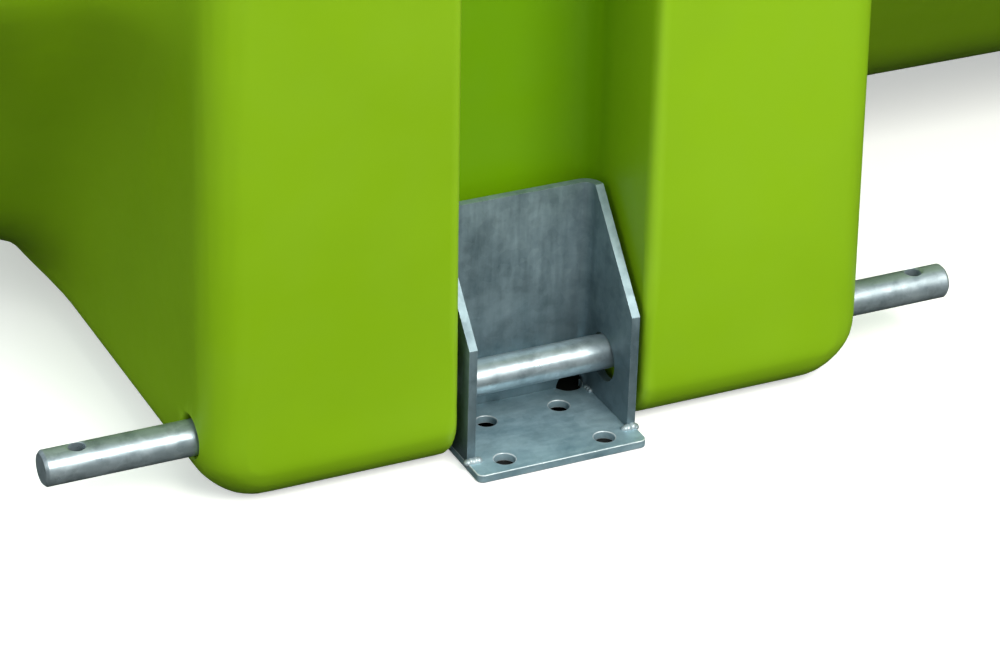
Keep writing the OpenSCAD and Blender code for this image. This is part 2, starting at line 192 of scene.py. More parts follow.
def tint(tree: bpy.types.NodeTree, value: bpy.types.NodeSocket, dark: str, light: str) -> bpy.types.NodeSocket:
    """Blends between two hex colours by a value from 0 to 1."""
    node = add(tree, "ShaderNodeMix", {"data_type": "RGBA"}, {0: value})
    node.inputs[6].default_value = linear(dark)
    node.inputs[7].default_value = linear(light)
    return node.outputs[2]


def scaled(tree: bpy.types.NodeTree, value: bpy.types.NodeSocket, factor: float,
           plus: bpy.types.NodeSocket | None = None) -> bpy.types.NodeSocket:
    """Multiplies a value by a constant, and adds another value if one is given."""
    node = add(tree, "ShaderNodeMath", {"operation": "MULTIPLY_ADD"}, {0: value})
    node.inputs[1].default_value, node.inputs[2].default_value = factor, 0.0
    if plus is not None:
        tree.links.new(plus, node.inputs[2])
    return node.outputs["Value"]


def paint_edge_highlight(tree: bpy.types.NodeTree, base: bpy.types.NodeSocket, light: str, amount: float) -> bpy.types.NodeSocket:
    """Paints a highlight along convex edges by lightening a colour.

    Args:
        tree: the shader tree.
        base: the colour away from edges.
        light: the hex colour of an edge.
        amount: how much of it a sharp edge takes.

    Returns:
        The blended colour.
    """
    edge = spread(tree, add(tree, "ShaderNodeNewGeometry").outputs["Pointiness"], 0, amount, 0.51, 0.60)
    node = add(tree, "ShaderNodeMix", {"data_type": "RGBA"}, {0: edge, 6: base})
    node.inputs[7].default_value = linear(light)
    return node.outputs[2]


def relief(tree: bpy.types.NodeTree, height: bpy.types.NodeSocket, depth_mm: float, strength: float,
           under: bpy.types.NodeSocket | None = None) -> bpy.types.NodeSocket:
    """Adds a bump of depth_mm, on top of another bump if one is given."""
    links = {"Height": height} | ({"Normal": under} if under else {})
    node = add(tree, "ShaderNodeBump", links=links, Strength=strength, Distance=depth_mm * MM)
    return node.outputs["Normal"]


@dataclass(frozen=True)
class MouldedPolyethylene:
    """Linear polyethylene, rotationally moulded: an even, waxy satin skin."""

    dark: str = "#769d0a"
    light: str = "#80a912"
    # The colour of the highlight painted on convex edges.
    edge: str = "#a3cc3c"
    # The darker green painted on the backs of the slots as shade.
    slot_shade_green: str = "#689700"
    roughness: float = 0.42
    peel_mm: float = 9.0
    grain_mm: float = 1.6

    def make(self) -> bpy.types.Material:
        """Builds the material: slow colour drift, painted shade in the slots, painted edge highlights, orange peel
        and fine grain.
        """
        material, tree, shader, coords = new_material("rotomoulded_green_polyethylene")
        drift = spread(tree, noise(tree, coords, 240, 3), 0, 1)
        # Painted shade: the backs of the slots are mixed towards a darker green, standing in for the shade that falls
        # in them.
        slot_shade_attribute = add(tree, "ShaderNodeAttribute", {"attribute_name": "shelter"})
        drift_and_slot_shade = add(tree, "ShaderNodeMix", {"data_type": "RGBA"},
                   {0: slot_shade_attribute.outputs["Fac"], 6: tint(tree, drift, self.dark, self.light)})
        drift_and_slot_shade.inputs[7].default_value = linear(self.slot_shade_green)
        # Painted highlight: convex edges are lightened where the mesh is pointed.
        skin = paint_edge_highlight(tree, drift_and_slot_shade.outputs[2], self.edge, 0.6)
        tree.links.new(skin, shader.inputs["Base Color"])
        tree.links.new(spread(tree, noise(tree, coords, 35, 3), self.roughness - 0.05, self.roughness + 0.06),
                       shader.inputs["Roughness"])
        # The resin shrinks from the mould as it cools, which leaves a faint peel.
        peel = relief(tree, noise(tree, coords, self.peel_mm, 1), 0.25, 0.22)
        grain = relief(tree, noise(tree, coords, self.grain_mm, 2), 0.05, 0.3, peel)
        tree.links.new(grain, shader.inputs["Normal"])
        shader.inputs["IOR"].default_value = 1.51
        shader.inputs["Specular IOR Level"].default_value = 0.28
        # Polyethylene is slightly translucent, so light bleeds a little at its edges.
        shader.inputs["Subsurface Weight"].default_value = 0.08
        shader.inputs["Subsurface Radius"].default_value = (0.6, 1.0, 0.1)
        shader.inputs["Subsurface Scale"].default_value = 0.006
        return material


@dataclass(frozen=True)
class Galvanised:
    """Hot dip galvanised steel: zinc crystals, runs and a dull grey patina."""

    name: str = "hot_dip_galvanised_plate"
    dark: str = "#5d737c"
    light: str = "#9bb0b9"
    roughness: float = 0.46
    bare: float = 0.6
    spangle_mm: float = 7.0
    spangle: float = 0.16
    # Colour of the dull stains, also used for the painted shade near the ground.
    stain_and_shade: str = "#45575e"
    # How much painted shade darkens the piece towards the ground.
    ground_shade: float = 0.0
    blotch: float = 0.32
    run_axis: Point = (1.0, 1.0, 0.12)

    def make(self) -> bpy.types.Material:
        """Builds the material: spangle cells, cloudy patina, fine runs and painted shade near the ground."""
        material, tree, shader, coords = new_material(self.name)
        warp = add(tree, "ShaderNodeVectorMath", {"operation": "SCALE"},
                   {0: add(tree, "ShaderNodeTexNoise", links={"Vector": coords.outputs["Object"]},
                           Scale=160.0).outputs["Color"]}, Scale=3 * MM)
        moved = add(tree, "ShaderNodeVectorMath", {"operation": "ADD"},
                    {0: coords.outputs["Object"], 1: warp.outputs["Vector"]})
        cells = add(tree, "ShaderNodeTexVoronoi", links={"Vector": moved.outputs["Vector"]},
                    Scale=1000 / self.spangle_mm)
        flake = add(tree, "ShaderNodeSeparateColor", links={"Color": cells.outputs["Color"]})
        cloud = noise(tree, coords, 42, 5, 0.65)
        runs = noise(tree, coords, 7, 4, 0.65, self.run_axis)
        mottle = add(tree, "ShaderNodeMath", {"operation": "ADD"},
                     {0: spread(tree, cloud, 0, 0.55), 1: spread(tree, runs, 0, 0.35)})
        mixed = scaled(tree, flake.outputs["Red"], self.spangle, mottle.outputs["Value"])
        # Dull stains at random, and painted shade that darkens the piece towards the ground.
        height = add(tree, "ShaderNodeSeparateXYZ", links={"Vector": coords.outputs["Object"]})
        stain_and_ground_shade = add(tree, "ShaderNodeMath", {"operation": "ADD", "use_clamp": True},
                     {0: spread(tree, noise(tree, coords, 16, 5, 0.6), 0, self.blotch, 0.5, 0.74),
                      1: spread(tree, height.outputs["Z"], self.ground_shade, 0, 0.035, 0.115)})
        zinc = add(tree, "ShaderNodeMix", {"data_type": "RGBA"},
                   {0: stain_and_ground_shade.outputs["Value"], 6: tint(tree, mixed, self.dark, self.light)})
        zinc.inputs[7].default_value = linear(self.stain_and_shade)
        tree.links.new(zinc.outputs[2], shader.inputs["Base Color"])
        rough = add(tree, "ShaderNodeMath", {"operation": "ADD"},
                    {0: spread(tree, flake.outputs["Green"], -0.05, 0.05, 0, 1),
                     1: spread(tree, runs, self.roughness - 0.08, self.roughness + 0.1)})
        tree.links.new(rough.outputs["Value"], shader.inputs["Roughness"])
        bump = relief(tree, runs, 0.12, 0.25)
        tree.links.new(relief(tree, noise(tree, coords, 1.5, 3), 0.05, 0.25, bump), shader.inputs["Normal"])
        # The dull carbonate film over the zinc scatters part of the light.
        shader.inputs["Metallic"].default_value = self.bare
        return material


@dataclass(frozen=True)
class MouldedPlastic:
    """Injection moulded or pressed polymer with a fine spark-eroded grain."""

    name: str
    dark: str
    light: str
    roughness: float = 0.5
    ior: float = 1.5
    grain_mm: float = 1.0

    def make(self) -> bpy.types.Material:
        """Builds the material: cloudy tone, grain and scuffed roughness."""
        material, tree, shader, coords = new_material(self.name)
        tone = spread(tree, noise(tree, coords, 18, 4, 0.6), 0, 1)
        tree.links.new(tint(tree, tone, self.dark, self.light), shader.inputs["Base Color"])
        tree.links.new(spread(tree, noise(tree, coords, 7, 3), self.roughness - 0.06, self.roughness + 0.08),
                       shader.inputs["Roughness"])
        tree.links.new(relief(tree, noise(tree, coords, self.grain_mm, 2), 0.06, 0.35), shader.inputs["Normal"])
        shader.inputs["IOR"].default_value = self.ior
        return material


@dataclass(frozen=True)
class TurnedMetal:
    """Brass or aluminium as turned or drawn: fine rings and a clean gloss."""

    name: str
    dark: str
    light: str
    roughness: float = 0.3

    def make(self) -> bpy.types.Material:
        """Builds the material: faint tarnish over fine turning marks."""
        material, tree, shader, coords = new_material(self.name)
        tone = spread(tree, noise(tree, coords, 12, 4, 0.6), 0, 1)
        tree.links.new(tint(tree, tone, self.dark, self.light), shader.inputs["Base Color"])
        rings = noise(tree, coords, 1.2, 2, 0.5, (6.0, 1.0, 1.0))
        tree.links.new(spread(tree, rings, self.roughness - 0.05, self.roughness + 0.1), shader.inputs["Roughness"])
        tree.links.new(relief(tree, rings, 0.03, 0.3), shader.inputs["Normal"])
        shader.inputs["Metallic"].default_value = 1.0
        return material


@dataclass(frozen=True)
class PrismReflector:
    """Amber acrylic lens, moulded with small cube-corner prisms behind it."""

    dark: str = "#c25a06"
    light: str = "#f08a1c"
    cell_mm: float = 5.0

    def make(self) -> bpy.types.Material:
        """Builds the material: a painted glint in each prism cell, lighter at its middle."""
        material, tree, shader, coords = new_material("amber_prism_reflector")
        cells = add(tree, "ShaderNodeTexVoronoi", {"feature": "F1", "distance": "CHEBYCHEV"},
                    {"Vector": coords.outputs["Object"]}, Scale=1000 / self.cell_mm, Randomness=0.0)
        glint = spread(tree, cells.outputs["Distance"], 0, 1, 0.0, 0.6)
        tree.links.new(tint(tree, glint, self.light, self.dark), shader.inputs["Base Color"])
        tree.links.new(relief(tree, cells.outputs["Distance"], 0.8, 0.5), shader.inputs["Normal"])
        shader.inputs["Roughness"].default_value = 0.16
        shader.inputs["IOR"].default_value = 1.49
        shader.inputs["Coat Weight"].default_value = 0.6
        shader.inputs["Coat Roughness"].default_value = 0.05
        return material


@dataclass(frozen=True)
class PaleFloor:
    """A matte paper sweep, with no grain that would draw the eye."""

    tone: str = "#f6f6f5"
    bounce: str = "#343632"
    glow: float = 0.4

    def make(self) -> bpy.types.Material:
        """Builds the material: pale to the eye, but with little bounce on the object."""
        material, tree, shader, _ = new_material("pale_studio_floor")
        seen = add(tree, "ShaderNodeLightPath").outputs["Is Camera Ray"]
        tree.links.new(tint(tree, seen, self.bounce, self.tone), shader.inputs["Base Color"])
        tree.links.new(scaled(tree, seen, self.glow), shader.inputs["Emission Strength"])
        shader.inputs["Emission Color"].default_value = linear(self.tone)
        shader.inputs["Roughness"].default_value = 0.9
        shader.inputs["Specular IOR Level"].default_value = 0.2
        return material


class Finish(Enum):
    """Every finish on the barrier."""

    SKIN = MouldedPolyethylene()
    # The channel is painted darker towards the ground, as shade.
    PLATE = Galvanised(ground_shade=0.55)
    # Painted light: a lighter copy of the plate's galvanising for the top-lit base plate.
    BASE = Galvanised("hot_dip_galvanised_base", "#7494a1", "#b4d0db", stain_and_shade="#5a727c", run_axis=(0.3, 1.0, 1.0))
    # Painted highlight: a brighter galvanising for the sheared rims of the sheet.
    EDGE = Galvanised("hot_dip_galvanised_edge", "#8fa3ac", "#dde7eb", 0.4, 0.5, 3.0, 0.4, stain_and_shade="#7b8e96",
                      run_axis=(1.0, 1.0, 1.0))
    BAR = Galvanised("hot_dip_galvanised_bar", "#8799a3", "#c4d2d9", 0.36, 0.75, 9.0, 0.25,
                     run_axis=(0.2, 1.0, 1.0), stain_and_shade="#56666f", blotch=0.6)
    BEAD = Galvanised("galvanised_weld_bead", "#8b9aa2", "#b4c2c8", 0.42, 0.65, 4.0, 0.2,
                      run_axis=(1.0, 1.0, 1.0))
    BLACK = MouldedPlastic("injection_moulded_black_polypropylene", "#121314", "#232527", 0.46, 1.49)
    RUBBER = MouldedPlastic("moulded_epdm_rubber", "#0c0c0c", "#191919", 0.72, 1.52, 0.7)
    BRASS = TurnedMetal("turned_brass", "#a07c3c", "#cba762", 0.26)
    ALUMINIUM = TurnedMetal("drawn_aluminium", "#a8abad", "#cfd2d4", 0.32)
    AMBER = PrismReflector()
    FLOOR = PaleFloor()
    SHADE = MouldedPlastic("shaded_ground", "#0c0d0d", "#151617", 0.9, 1.3)

    def material(self) -> bpy.types.Material:
        """Gives this finish's material, made the first time it is asked for."""
        if self.name not in _made:
            _made[self.name] = self.value.make()
        return _made[self.name]


_made: dict[str, bpy.types.Material] = {}


# ------------------------------------------------------------------ meshes


def new_object(name: str, mesh: bpy.types.Mesh) -> bpy.types.Object:
    """Puts a mesh in the scene as an object at the origin."""
    made = bpy.data.objects.new(name, mesh)
    bpy.context.scene.collection.objects.link(made)
    return made


def from_bmesh(name: str, shape: bmesh.types.BMesh, finish: Finish | None = None) -> bpy.types.Object:
    """Turns a bmesh into an object and frees it.

    Args:
        name: the object's name.
        shape: the bmesh, whose normals are made consistent first.
        finish: the finish of every face.

    Returns:
        The new object.
    """
    bmesh.ops.recalc_face_normals(shape, faces=shape.faces)
    mesh = bpy.data.meshes.new(name)
    shape.to_mesh(mesh)
    shape.free()
    if finish:
        mesh.materials.append(finish.material())
    return new_object(name, mesh)


def apply_modifiers(piece: bpy.types.Object) -> bpy.types.Object:
    """Replaces an object's mesh by what its modifiers make of it."""
    graph = bpy.context.evaluated_depsgraph_get()
    done = bpy.data.meshes.new_from_object(piece.evaluated_get(graph))
    done.name = piece.name
    piece.modifiers.clear()
    old, piece.data = piece.data, done
    bpy.data.meshes.remove(old)
    return piece


def smooth(piece: bpy.types.Object, angle: float = 35.0, weighted: bool = True) -> bpy.types.Object:
    """Shades a piece smooth, with sharp edges kept where faces turn by angle.

    Args:
        piece: the object.
        angle: degrees from which an edge stays sharp.
        weighted: whether large faces keep their own normal at bevels.

    Returns:
        The same object.
    """
    piece.data.shade_smooth()
    piece.data.set_sharp_from_angle(angle=math.radians(angle))
    if weighted:
        modifier = piece.modifiers.new("weight", "WEIGHTED_NORMAL")
        modifier.keep_sharp = True
        modifier.weight = 50
        apply_modifiers(piece)
    return piece


def lathe(profile: Profile, steps: int = 64) -> bmesh.types.BMesh:
    """Turns a closed outline of (radius, height) about Z into a solid.

    Args:
        profile: the outline, in metres; radius 0 makes a pole.
        steps: facets round the turn.

    Returns:
        A closed bmesh.
    """
    shape = bmesh.new()
    rings = []
    for radius, height in profile:
        if radius < 1e-9:
            rings.append([shape.verts.new((0, 0, height))])
        else:
            rings.append([shape.verts.new((radius * math.cos(2 * math.pi * i / steps),
                                           radius * math.sin(2 * math.pi * i / steps), height))
                          for i in range(steps)])
    for lower, upper in zip(rings, rings[1:] + rings[:1]):
        for i in range(steps):
            k = (i + 1) % steps
            corners = [lower[i % len(lower)], lower[k % len(lower)], upper[k % len(upper)], upper[i % len(upper)]]
            corners = list(dict.fromkeys(corners))
            if len(corners) > 2:
                shape.faces.new(corners)
    return shape


def rounded(profile: Profile, radii: Sequence[float], steps: int = 4) -> list[tuple[float, float]]:
    """Rounds the corners of an outline.

    Args:
        profile: the outline's corners.
        radii: the radius at each corner, 0 to leave it sharp.
        steps: points on each round.

    Returns:
        The outline with arcs in place of its corners.
    """
    made: list[tuple[float, float]] = []
    count = len(profile)
    for i, radius in enumerate(radii):
        here = Vector(profile[i])
        if radius <= 0:
            made.append(tuple(here))
            continue
        back, on = Vector(profile[i - 1]) - here, Vector(profile[(i + 1) % count]) - here
        reach = radius / math.tan(back.angle(on) / 2)
        reach = min(reach, 0.49 * back.length, 0.49 * on.length)
        start, end = here + back.normalized() * reach, here + on.normalized() * reach
        for k in range(steps + 1):
            t = k / steps
            made.append(tuple(start.lerp(here, t).lerp(here.lerp(end, t), t)))
    return made


def placed(shape: bmesh.types.BMesh, matrix: Matrix) -> bmesh.types.BMesh:
    """Moves a bmesh into place."""
    bmesh.ops.transform(shape, matrix=matrix, verts=shape.verts)
    return shape


def joined(shapes: Iterable[bmesh.types.BMesh]) -> bmesh.types.BMesh:
    """Puts several bmeshes into one and frees them."""
    total = bmesh.new()
    for shape in shapes:
        held = bpy.data.meshes.new("held")
        shape.to_mesh(held)
        shape.free()
        total.from_mesh(held)
        bpy.data.meshes.remove(held)
    return total


def block(size: Point, centre: Point, bevel: float = 0.0, segments: int = 2) -> bmesh.types.BMesh:
    """Makes a box with rounded edges.

    Args:
        size: its three sides.
        centre: its middle.
        bevel: radius of its edges.
        segments: facets on each edge.

    Returns:
        A closed bmesh.
    """
    shape = bmesh.new()
    bmesh.ops.create_cube(shape, size=1.0, matrix=Matrix.Translation(centre) @ Matrix.Diagonal((*size, 1.0)))
    if bevel:
        bmesh.ops.bevel(shape, geom=shape.edges[:], offset=bevel, segments=segments, profile=0.5, affect="EDGES")
    return shape


def cut(piece: bpy.types.Object, tools: Iterable[bmesh.types.BMesh], mode: str = "DIFFERENCE") -> bpy.types.Object:
    """Cuts closed shapes out of a piece, or adds them to it.

    Args:
        piece: the object.
        tools: closed bmeshes that don't touch each other.
        mode: DIFFERENCE or UNION.

    Returns:
        The same object.
    """
    tool = from_bmesh("tool", joined(tools))
    modifier = piece.modifiers.new("cut", "BOOLEAN")
    modifier.operation, modifier.object, modifier.solver = mode, tool, "MANIFOLD"
    apply_modifiers(piece)
    bpy.data.objects.remove(tool)
    return piece


def softened(node: str, width_mm: float, finish: Finish, angle: float = 40.0, segments: int = 2,
             edge: Finish | None = None) -> bpy.types.Object:
    """Copies a frame node and rounds its sharp edges, as a deburred or cast edge is.

    Args:
        node: the frame's node, which the copy replaces.
        width_mm: width of the rounding.
        finish: the copy's finish.
        angle: degrees from which an edge counts as sharp.
        segments: facets on each rounding.
        edge: the finish of the roundings, if it differs.

    Returns:
        The copy, in place.
    """
    shape = bmesh.new()
    shape.from_mesh(frame["nodes"][node].data)
    bmesh.ops.remove_doubles(shape, verts=shape.verts, dist=1e-6)
    bmesh.ops.dissolve_limit(shape, angle_limit=math.radians(1.0), verts=shape.verts, edges=shape.edges)
    sharp = [e for e in shape.edges if len(e.link_faces) == 2 and e.calc_face_angle(0) > math.radians(angle)]
    bmesh.ops.bevel(shape, geom=sharp, offset=width_mm * MM, segments=segments, profile=0.5,
                    affect="EDGES", clamp_overlap=True, loop_slide=True, material=1 if edge else -1)
    piece = from_bmesh(f"{node}_skin", shape, finish)
    if edge:
        # Painted highlight: the sheared rims of the sheet get a brighter copy of the galvanising.
        piece.data.materials.append(edge.material())
        for face in piece.data.polygons:
            corners = [piece.data.vertices[i].co for i in face.vertices]
            longest = max((a - b).length for a, b in zip(corners, corners[1:] + corners[:1]))
            if RIM_WIDTH[0] < face.area / longest < RIM_WIDTH[1]:
                face.material_index = 1
    smooth(piece)
    return stand_for(piece, node)


def stand_for(piece: bpy.types.Object, *nodes: str) -> bpy.types.Object:
    """Rides a piece on the body of the nodes that it replaces, and hides those nodes."""
    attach(piece, frame["nodes"][nodes[0]]["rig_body"])
    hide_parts(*nodes)
    return piece


def grown(name: str, tree: bpy.types.NodeTree, values: dict[str, float], finish: Finish) -> bpy.types.Object:
    """Runs a geometry tree and keeps its result as a plain mesh.

    Args:
        name: the piece's name.
        tree: the geometry tree.
        values: the tree's inputs by name.
        finish: the finish of the piece.

    Returns:
        The new object, with no modifier on it.
    """
    piece = new_object(name, bpy.data.meshes.new(name))
    modifier = piece.modifiers.new("grow", "NODES")
    modifier.node_group = tree
    for item in tree.interface.items_tree:
        if item.item_type == "SOCKET" and item.in_out == "INPUT" and item.name in values:
            modifier[item.identifier] = values[item.name]
    apply_modifiers(piece)
    if not piece.data.materials:
        piece.data.materials.append(finish.material())
    return piece


# --------------------------------------------------- the moulding as a field


def round_join(a: np.ndarray, b: np.ndarray, radius: np.ndarray | float) -> np.ndarray:
    """Unites two fields with a fillet of a radius between them."""
    return np.maximum(radius, np.minimum(a, b)) - np.hypot(np.maximum(radius - a, 0), np.maximum(radius - b, 0))


def round_meet(a: np.ndarray, b: np.ndarray, radius: np.ndarray | float) -> np.ndarray:
    """Intersects two fields with a round of a radius on their edge."""
    return -round_join(-a, -b, radius)


def ease(value: np.ndarray, start: float, end: float) -> np.ndarray:
    """Runs smoothly from 0 at start to 1 at end."""
    t = np.clip((value - start) / (end - start), 0, 1)
    return t * t * (3 - 2 * t)


def arc(u: float, v: float, radius: float, a0: float, a1: float, step: float = 3.0) -> list[tuple[float, float]]:
    """Gives points on an arc about (u, v), from angle a0 to a1 in degrees."""
    count = max(2, int(abs(a1 - a0) / step))
    angles = [math.radians(a0 + (a1 - a0) * i / count) for i in range(count + 1)]
    return [(u + radius * math.cos(a), v + radius * math.sin(a)) for a in angles]


def outline_field(corners: Sequence[tuple[float, float]], u: np.ndarray, v: np.ndarray) -> np.ndarray:
    """Measures the signed distance to a closed outline, negative inside.

    Args:
        corners: the outline's points.
        u: first coordinates.
        v: second coordinates.

    Returns:
        The distance at each point.
    """
    u, v = np.broadcast_arrays(u, v)
    nearest = np.full(u.shape, np.inf)
    inside = np.zeros(u.shape, bool)
    for (u0, v0), (u1, v1) in zip(corners, list(corners[1:]) + [corners[0]]):
        du, dv = u1 - u0, v1 - v0
        length = du * du + dv * dv
        if length < 1e-16:
            continue
        t = np.clip(((u - u0) * du + (v - v0) * dv) / length, 0, 1)
        nearest = np.minimum(nearest, (u - u0 - t * du) ** 2 + (v - v0 - t * dv) ** 2)
        if dv:
            crosses = ((v0 > v) != (v1 > v)) & (u < u0 + du * (v - v0) / dv)
            inside ^= crosses
    return np.where(inside, -1, 1) * np.sqrt(nearest)


def graded(low: float, high: float, coarse: float, features: Sequence[tuple[float, float, float]]) -> np.ndarray:
    """Spaces grid lines closely round features and widely elsewhere.

    Args:
        low: where the lines start.
        high: where they end at least.
        coarse: widest spacing.
        features: (centre, half width, fine spacing) of each feature.

    Returns:
        The lines' coordinates.
    """
    lines = [low]
    while lines[-1] < high:
        here = lines[-1]
        step = coarse
        for centre, half, fine in features:
            away = max(0.0, abs(here + fine / 2 - centre) - half)
            step = min(step, fine + 0.35 * away)
        lines.append(here + step)
    return np.array(lines)


def net(shape: Callable[..., np.ndarray], xs: np.ndarray, ys: np.ndarray,
        zs: np.ndarray) -> tuple[np.ndarray, np.ndarray]:
    """Draws the surface where a field is zero, as quads on a graded grid.

    Args:
        shape: the field as a function of x, y and z.
        xs: grid lines across X.
        ys: grid lines across Y.
        zs: grid lines across Z.

    Returns:
        The points and the quads that join them, facing outwards.
    """
    value = shape(xs[:, None, None], ys[None, :, None], zs[None, None, :])
    lines = (xs, ys, zs)
    cells = tuple(len(a) - 1 for a in lines)
    total, count = np.zeros((*cells, 3)), np.zeros(cells)
    crossing = []
    for axis in range(3):
        lead = np.moveaxis(value, axis, 0)
        a, b = lead[:-1], lead[1:]
        hit = (a < 0) != (b < 0)
        t = np.where(hit, a / np.where(hit, a - b, 1), 0)
        step = np.diff(lines[axis])[:, None, None]
        along = lines[axis][:-1, None, None] + t * step
        mask = np.moveaxis(hit, 0, axis)
        crossing.append((mask, np.moveaxis(a < 0, 0, axis)))
        grids = [np.broadcast_to(line.reshape([-1 if i == k else 1 for i in range(3)]), mask.shape)
                 if k != axis else np.moveaxis(along, 0, axis) for k, line in enumerate(lines)]
        # Each crossed edge counts in the four cells round it.
        for da in (0, 1):
            for db in (0, 1):
                shift = [da, db]
                shift.insert(axis, 0)
                pick = tuple(slice(s, s + c) for s, c in zip(shift, cells))
                count += mask[pick]
                for k in range(3):
                    total[..., k] += np.where(mask[pick], grids[k][pick], 0)
    used = count > 0
    number = np.full(cells, -1)
    number[used] = np.arange(used.sum())
    points = total[used] / count[used][:, None]
    quads = []
    for axis, (mask, starts_in) in enumerate(crossing):
        inner, first = [slice(1, -1)] * 3, [1] * 3
        inner[axis], first[axis] = slice(None), 0
        where = np.argwhere(mask[tuple(inner)]) + first
        outward = starts_in[tuple(where.T)]
        ring = []
        for da, db in ((-1, -1), (0, -1), (0, 0), (-1, 0)):
            shift = [da, db]
            shift.insert(axis, 0)
            ring.append(number[tuple((where + shift).T)])
        quad = np.stack(ring, 1)
        flip = outward if axis == 1 else ~outward
        quad[flip] = quad[flip][:, ::-1]
        quads.append(quad)
    return points, np.concatenate(quads)


def settle(shape: Callable[..., np.ndarray], points: np.ndarray, rounds: int = 4) -> np.ndarray:
    """Moves points onto the field's zero surface along its slope."""
    reach, flattest, furthest = 0.0008, 0.3, 0.004
    for _ in range(rounds):
        x, y, z = points.T
        slope = np.stack([shape(x + reach, y, z) - shape(x - reach, y, z),
                          shape(x, y + reach, z) - shape(x, y - reach, z),
                          shape(x, y, z + reach) - shape(x, y, z - reach)], 1) / (2 * reach)
        size = np.maximum((slope ** 2).sum(1), flattest ** 2)
        move = slope * (shape(x, y, z) / size)[:, None]
        points = points - np.clip(move, -furthest, furthest)
    return points


# -------------------------------------------------------------- sub-assemblies


